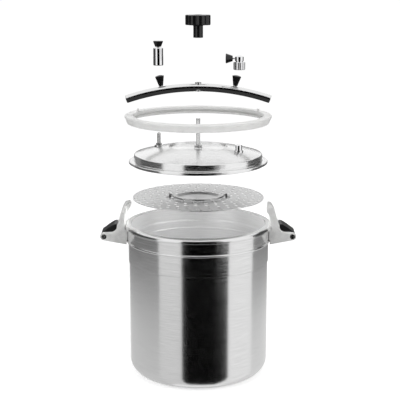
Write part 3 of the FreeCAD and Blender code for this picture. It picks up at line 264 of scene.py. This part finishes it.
def plain_metal(name, color, roughness, wear=0.05):
    """Turned or drawn small metal parts: faint wipe marks and uneven gloss."""
    finish = Finish(name, color, roughness, metallic=1.0)
    marks = finish.noise(finish.place, scale=400.0)
    finish.tint(marks, dark=1.0 - wear, light=1.0 + wear)
    finish.rough_from(marks, low=roughness * 0.8, high=roughness * 1.3)
    finish.bump(marks, strength=0.15, depth=0.00003)
    return finish.material


def drawn_tube(name, color, roughness):
    """Polished tube with faint marks along its length."""
    finish = Finish(name, color, roughness, metallic=1.0)
    lines = finish.noise(finish.scaled(x=12.0, y=1500.0, z=1500.0), detail=3.0)
    finish.tint(lines, dark=0.96, light=1.03)
    finish.rough_from(lines, low=roughness * 0.7, high=roughness * 1.4)
    finish.bump(lines, strength=0.12, depth=0.00003)
    return finish.material


def moulded(name, color, roughness):
    """Moulded phenolic: near-black, with a fine skin and a cloudy shine."""
    finish = Finish(name, color, roughness)
    grain = finish.noise(finish.place, scale=1400.0, detail=3.0)
    cloud = finish.noise(finish.place, scale=60.0, detail=2.0)
    finish.tint(cloud, dark=0.75, light=1.35)
    finish.rough_from(cloud, low=roughness * 0.88, high=roughness * 1.15)
    finish.bump(grain, strength=0.35, depth=0.00006)
    set_inputs(finish.shader, {"Specular IOR Level": 0.5})
    return finish.material


def silicone(name, color, roughness):
    """Milky rubber that lets a little light in, with faint cloudiness and a fine skin."""
    finish = Finish(name, color, roughness)
    cloud = finish.noise(finish.place, scale=45.0, detail=3.0)
    skin = finish.noise(finish.place, scale=900.0, detail=2.0)
    finish.tint(cloud, dark=0.95, light=1.03)
    finish.rough_from(cloud, low=0.36, high=0.5)
    finish.bump(skin, strength=0.2, depth=0.00005)
    set_inputs(finish.shader, {"Subsurface Weight": 0.35, "Subsurface Radius": (0.006, 0.006, 0.006),
                               "Subsurface Scale": 1.0})
    return finish.material


# ---- finishes ----------------------------------------------------------------
FINISHES = {
    "pot_aluminium": spun_metal("spun_pot_aluminium", (0.80, 0.80, 0.80), roughness=0.21,
                                anisotropy=0.85, contrast=0.065, has_hollow=True),
    "lid_aluminium": spun_metal("spun_lid_aluminium", (0.88, 0.88, 0.88), roughness=0.24,
                                anisotropy=0.8, contrast=0.05),
    "rack_aluminium": spun_metal("rack_sheet_aluminium", (0.78, 0.78, 0.78), roughness=0.38,
                                 anisotropy=0.5, contrast=0.05),
    "cast_aluminium": cast_metal("cast_bracket_aluminium", (0.80, 0.80, 0.79), roughness=0.45, metallic=0.3),
    "bar_steel": drawn_tube("polished_bar_steel", (0.80, 0.80, 0.80), roughness=0.13),
    "fastener_steel": plain_metal("fastener_steel", (0.72, 0.72, 0.72), roughness=0.24),
    "valve_chrome": plain_metal("valve_chrome", (0.86, 0.86, 0.87), roughness=0.08, wear=0.02),
    "spring_steel": plain_metal("spring_wire", (0.55, 0.55, 0.56), roughness=0.3),
    "screw_brass": plain_metal("machined_brass", (0.78, 0.58, 0.26), roughness=0.26),
    "knob_black": moulded("knob_black_phenolic", (0.006, 0.006, 0.0065), roughness=0.15),
    "grip_black": moulded("grip_black_phenolic", (0.009, 0.009, 0.009), roughness=0.30),
    "seal_silicone": silicone("milky_silicone", (0.84, 0.84, 0.83), roughness=0.42),
}

for node, thing in frame["nodes"].items():
    thing.data.materials.clear()
    thing.data.materials.append(FINISHES[SLOT_OF[node]])


# ---- moulded, cast and soft pieces: rounded copies of the construction's own pieces ----
def rounded_copy(node, name, voxel, passes):
    """A one-skin copy of a node with its corners eased all over, as a mould or a casting leaves them."""
    bpy.ops.object.select_all(action="DESELECT")
    source = frame["nodes"][node]
    piece = source.copy()
    piece.data = source.data.copy()
    piece.name = name
    piece.data.name = name
    piece.animation_data_clear()
    bpy.context.scene.collection.objects.link(piece)
    piece.parent = None
    piece.matrix_world.identity()
    piece.select_set(True)
    bpy.context.view_layer.objects.active = piece
    bpy.ops.object.mode_set(mode="EDIT")
    bpy.ops.mesh.select_all(action="SELECT")
    bpy.ops.mesh.remove_doubles(threshold=WELD_DISTANCE)
    bpy.ops.object.mode_set(mode="OBJECT")
    remesh = piece.modifiers.new("skin", "REMESH")
    remesh.mode = "VOXEL"
    remesh.voxel_size = voxel
    bpy.ops.object.modifier_apply(modifier=remesh.name)
    smooth = piece.modifiers.new("ease", "SMOOTH")
    smooth.factor = EASE_FACTOR
    smooth.iterations = passes
    bpy.ops.object.modifier_apply(modifier=smooth.name)
    bpy.ops.object.shade_smooth()
    piece.data.materials.clear()
    piece.data.materials.append(FINISHES[SLOT_OF[node]])
    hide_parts(node)
    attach(piece, BODY_OF[node])
    piece.select_set(False)


rounded_copy("star_knob", "lobed_knob", voxel=0.0006, passes=5)
rounded_copy("bar_knobs", "bar_cones", voxel=0.0004, passes=3)
rounded_copy("valve_knob", "valve_cone", voxel=0.0004, passes=3)
rounded_copy("pull_knob", "pull_cone", voxel=0.0004, passes=3)
rounded_copy("gasket", "sealing_ring", voxel=0.0011, passes=3)
for side in ("right", "left"):
    rounded_copy(side + "_bracket", side + "_cast_bracket", voxel=0.0008, passes=3)
    rounded_copy(side + "_grip", side + "_moulded_grip", voxel=0.0007, passes=4)


# ---- studio --------------------------------------------------------------------
def add_object(name, data):
    thing = bpy.data.objects.new(name, data)
    bpy.context.scene.collection.objects.link(thing)
    return thing


def on_circle(azimuth, z):
    """A point on the circle of cards; azimuth 0 faces the camera, positive to its right."""
    angle = math.radians(azimuth)
    return (CARD_RADIUS * math.sin(angle), -CARD_RADIUS * math.cos(angle), z)


def emission(name):
    material = bpy.data.materials.new(name)
    material.use_nodes = True
    tree = material.node_tree
    tree.nodes.clear()
    out = tree.nodes.new("ShaderNodeOutputMaterial")
    glow = tree.nodes.new("ShaderNodeEmission")
    set_inputs(glow, {"Color": WHITE})
    tree.links.new(glow.outputs[0], out.inputs["Surface"])
    return material, tree, glow


def only_reflected(thing):
    """A card that polished metal sees, and that neither the camera nor the lamps do."""
    thing.visible_camera = False
    thing.visible_diffuse = False
    thing.visible_shadow = False
    thing.visible_transmission = False
    thing.visible_volume_scatter = False


def card(name, azimuths, heights, levels, fade=HIGH_FADE):
    """Upright curved card; its grey goes from one level to the other between the two fade heights."""
    mesh = bpy.data.meshes.new(name)
    start, end = azimuths
    points = []
    for i in range(CARD_STEPS + 1):
        azimuth = start + (end - start) * i / CARD_STEPS
        points += [on_circle(azimuth, z) for z in heights]
    faces = [(2 * i, 2 * i + 2, 2 * i + 3, 2 * i + 1) for i in range(CARD_STEPS)]
    mesh.from_pydata(points, [], faces)
    thing = add_object(name, mesh)
    material, tree, glow = emission(name)
    place = tree.nodes.new("ShaderNodeTexCoord")
    split = tree.nodes.new("ShaderNodeSeparateXYZ")
    tree.links.new(place.outputs["Object"], split.inputs[0])
    tree.links.new(map_range(tree, split.outputs["Z"], *levels, *fade), glow.inputs["Strength"])
    mesh.materials.append(material)
    only_reflected(thing)


def studio_cards():
    low = (CARD_BELOW, POT_VIEW_TOP)
    upper_dark = (POT_VIEW_TOP, DARK_HIGH)
    whole = (CARD_BELOW, CARD_HIGH)
    side_low = (CARD_BELOW, SIDE_SPLIT)
    side_high = (SIDE_SPLIT, CARD_HIGH)
    card("card_dark_low", (DARK_LEFT, DARK_RIGHT), low, levels=(0.0, 0.0))
    card("card_dark_high", (UPPER_DARK_LEFT, UPPER_DARK_RIGHT), upper_dark, levels=(0.0, 0.0))
    card("card_soft_edge", (UPPER_DARK_RIGHT, UPPER_SOFT_RIGHT), upper_dark, levels=(0.35, 0.35))
    card("card_front_left", (FRONT_LEFT, DARK_LEFT), whole, levels=(0.7, 1.0), fade=FRONT_FADE)
    card("card_front_right", (DARK_RIGHT, FRONT_RIGHT), whole, levels=(0.9, 1.0), fade=FRONT_FADE)
    card("card_left_low", (BACK_LEFT, FRONT_LEFT), side_low, levels=(0.66, 0.12), fade=SIDE_FADE)
    card("card_right_low", (FRONT_RIGHT, BACK_RIGHT), side_low, levels=(0.78, 0.17), fade=SIDE_FADE)
    card("card_left", (SIDE_LEFT, FRONT_LEFT), side_high, levels=(0.2, 0.06))
    card("card_right", (FRONT_RIGHT, SIDE_RIGHT), side_high, levels=(0.24, 0.06))
    card("card_back_left", (BACK_LEFT, SIDE_LEFT), side_high, levels=(0.3, 0.22))
    card("card_back_right", (SIDE_RIGHT, BACK_RIGHT), side_high, levels=(0.3, 0.22))
    card("card_back_low", (BACK_RIGHT, BACK_LEFT + FULL_CIRCLE), BACK_BAND, levels=(0.12, 0.12))


def card_under_bar():
    """Dark from above and clear from below: the bar's underside sees it, the lid does not."""
    bpy.ops.mesh.primitive_plane_add(size=1.0, location=BAR_CARD_PLACE)
    thing = bpy.context.object
    thing.name = "card_under_bar"
    thing.scale = (*BAR_CARD_SIZE, 1.0)
    bpy.ops.object.transform_apply(location=False, rotation=False, scale=True)
    material, tree, glow = emission(thing.name)
    set_inputs(glow, {"Strength": BAR_CARD_LEVEL})
    side = tree.nodes.new("ShaderNodeNewGeometry")
    clear = tree.nodes.new("ShaderNodeBsdfTransparent")
    pick = tree.nodes.new("ShaderNodeMixShader")
    tree.links.new(side.outputs["Backfacing"], pick.inputs[0])
    tree.links.new(glow.outputs[0], pick.inputs[1])
    tree.links.new(clear.outputs[0], pick.inputs[2])
    tree.links.new(pick.outputs[0], tree.nodes["Material Output"].inputs["Surface"])
    thing.data.materials.append(material)
    only_reflected(thing)


def studio_floor():
    """Pale to the camera, unseen in the metal, and it keeps the object's shadow."""
    bpy.ops.mesh.primitive_plane_add(size=2 * FLOOR_HALF)
    floor = bpy.context.object
    floor.name = "floor"
    material = bpy.data.materials.new("pale_floor")
    material.use_nodes = True
    tree = material.node_tree
    shader = tree.nodes["Principled BSDF"]
    set_inputs(shader, {"Base Color": FLOOR_GREY, "Roughness": FLOOR_ROUGHNESS,
                        "Specular IOR Level": 0.0, "Emission Color": WHITE})
    ray = tree.nodes.new("ShaderNodeLightPath")
    glow = map_range(tree, ray.outputs["Is Camera Ray"], 0.0, FLOOR_GLOW)
    tree.links.new(glow, shader.inputs["Emission Strength"])
    floor.data.materials.append(material)
    floor.visible_glossy = False


def studio_world():
    """White where it is seen or reflected, and an even soft light everywhere else."""
    world = bpy.data.worlds.new("studio")
    bpy.context.scene.world = world
    world.use_nodes = True
    tree = world.node_tree
    background = tree.nodes["Background"]
    set_inputs(background, {"Color": WHITE})
    ray = tree.nodes.new("ShaderNodeLightPath")
    seen = ray.outputs["Is Camera Ray"]
    for other in ("Is Glossy Ray", "Is Transmission Ray"):
        either = tree.nodes.new("ShaderNodeMath")
        either.operation = "MAXIMUM"
        tree.links.new(seen, either.inputs[0])
        tree.links.new(ray.outputs[other], either.inputs[1])
        seen = either.outputs[0]
    tree.links.new(map_range(tree, seen, WORLD_LEVEL, 1.0), background.inputs["Strength"])


def turned_to(place, target):
    """The rotation that points a lamp or a camera at place towards target."""
    return (target - place).to_track_quat("-Z", "Y").to_euler()


def lamp(name, place, size, power, aim=AIM):
    data = bpy.data.lights.new(name, "AREA")
    data.shape = "DISK"
    data.size = size
    data.energy = power
    thing = add_object(name, data)
    thing.location = place
    thing.rotation_euler = turned_to(Vector(place), aim)
    thing.visible_glossy = False
    thing.visible_camera = False


def studio_camera():
    data = bpy.data.cameras.new("camera")
    data.lens = CAMERA_LENS
    data.sensor_width = SENSOR
    thing = add_object("camera", data)
    angle = math.radians(CAMERA_ELEVATION)
    thing.location = AIM + CAMERA_DISTANCE * Vector((0.0, -math.cos(angle), math.sin(angle)))
    thing.rotation_euler = turned_to(thing.location, AIM)
    bpy.context.scene.camera = thing


studio_cards()
card_under_bar()
studio_floor()
studio_world()
lamp("key", place=(-1.6, -2.2, 2.4), size=1.4, power=22.0)
lamp("fill", place=(2.0, -1.6, 1.6), size=1.6, power=14.0)
lamp("top", place=(0.2, 0.6, 2.8), size=1.8, power=14.0)
lamp("pot_inside", place=(0.0, 0.0, 0.375), size=0.24, power=1.2, aim=POT_FLOOR)
studio_camera()
bpy.context.scene.view_settings.view_transform = "Standard"
